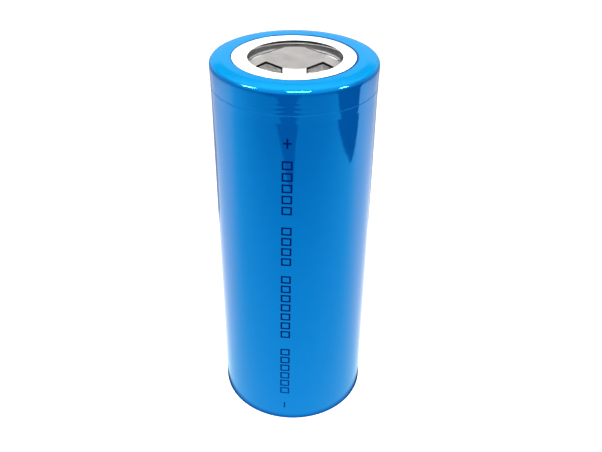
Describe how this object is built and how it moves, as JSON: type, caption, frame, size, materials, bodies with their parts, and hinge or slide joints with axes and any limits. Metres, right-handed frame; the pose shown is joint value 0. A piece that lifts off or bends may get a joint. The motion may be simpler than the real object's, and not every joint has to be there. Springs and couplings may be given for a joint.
{
  "type": "cylindrical battery cell",
  "caption": "Flat-top cylindrical lithium-ion cell in a blue shrink sleeve, with a white top insulator, a recessed vented positive cap and a flat negative base.",
  "frame": {"origin": "centre of the face that the standing cell rests on, at its negative end", "axes": "+Z along the cell's axis, from the negative end to the positive end; the cap's four legs point along X and Y"},
  "size_m": [0.0264, 0.0264, 0.066],
  "materials": {
    "blue_film": "glossy heat-shrunk film",
    "white_board": "matt white insulating board",
    "nickel_plated_steel": "satin nickel plate on drawn steel",
    "gasket_plastic": "natural polypropylene",
    "ptc_compound": "dark filled polymer",
    "aluminium": "satin sheet",
    "insulator_plastic": "matt moulded plastic",
    "copper": "satin copper foil",
    "graphite_coating": "matt graphite layer",
    "oxide_coating": "matt metal oxide layer",
    "separator_film": "translucent porous film",
    "polyimide_tape": "amber tape",
    "blue_tape": "thin tape",
    "nickel": "satin nickel strip"
  },
  "bodies": {
    "cell": {"shrink_sleeve": "blue_film", "top_insulator_washer": "white_board", "steel_can": "nickel_plated_steel", "crimp_gasket": "gasket_plastic", "positive_cap": "nickel_plated_steel", "ptc_ring": "ptc_compound", "vent_disc_rim": "aluminium", "interrupt_plate_holder": "insulator_plastic", "interrupt_plate": "aluminium", "positive_tab": "aluminium", "positive_tab_tape": "polyimide_tape", "upper_insulator": "insulator_plastic", "separator_inner": "separator_film", "anode_coating_inner": "graphite_coating", "anode_foil": "copper", "anode_coating_outer": "graphite_coating", "separator_outer": "separator_film", "cathode_coating_inner": "oxide_coating", "cathode_foil": "aluminium", "cathode_coating_outer": "oxide_coating", "roll_tape": "blue_tape", "lower_insulator": "insulator_plastic", "negative_tab": "nickel"},
    "vent_dome": {"vent_disc_dome": "aluminium"}
  },
  "joints": [
    {"name": "interrupt_trip", "type": "slide", "parent": "cell", "child": "vent_dome", "axis": [0, 0, 1], "range_m": [0, 0.0006]}
  ]
}
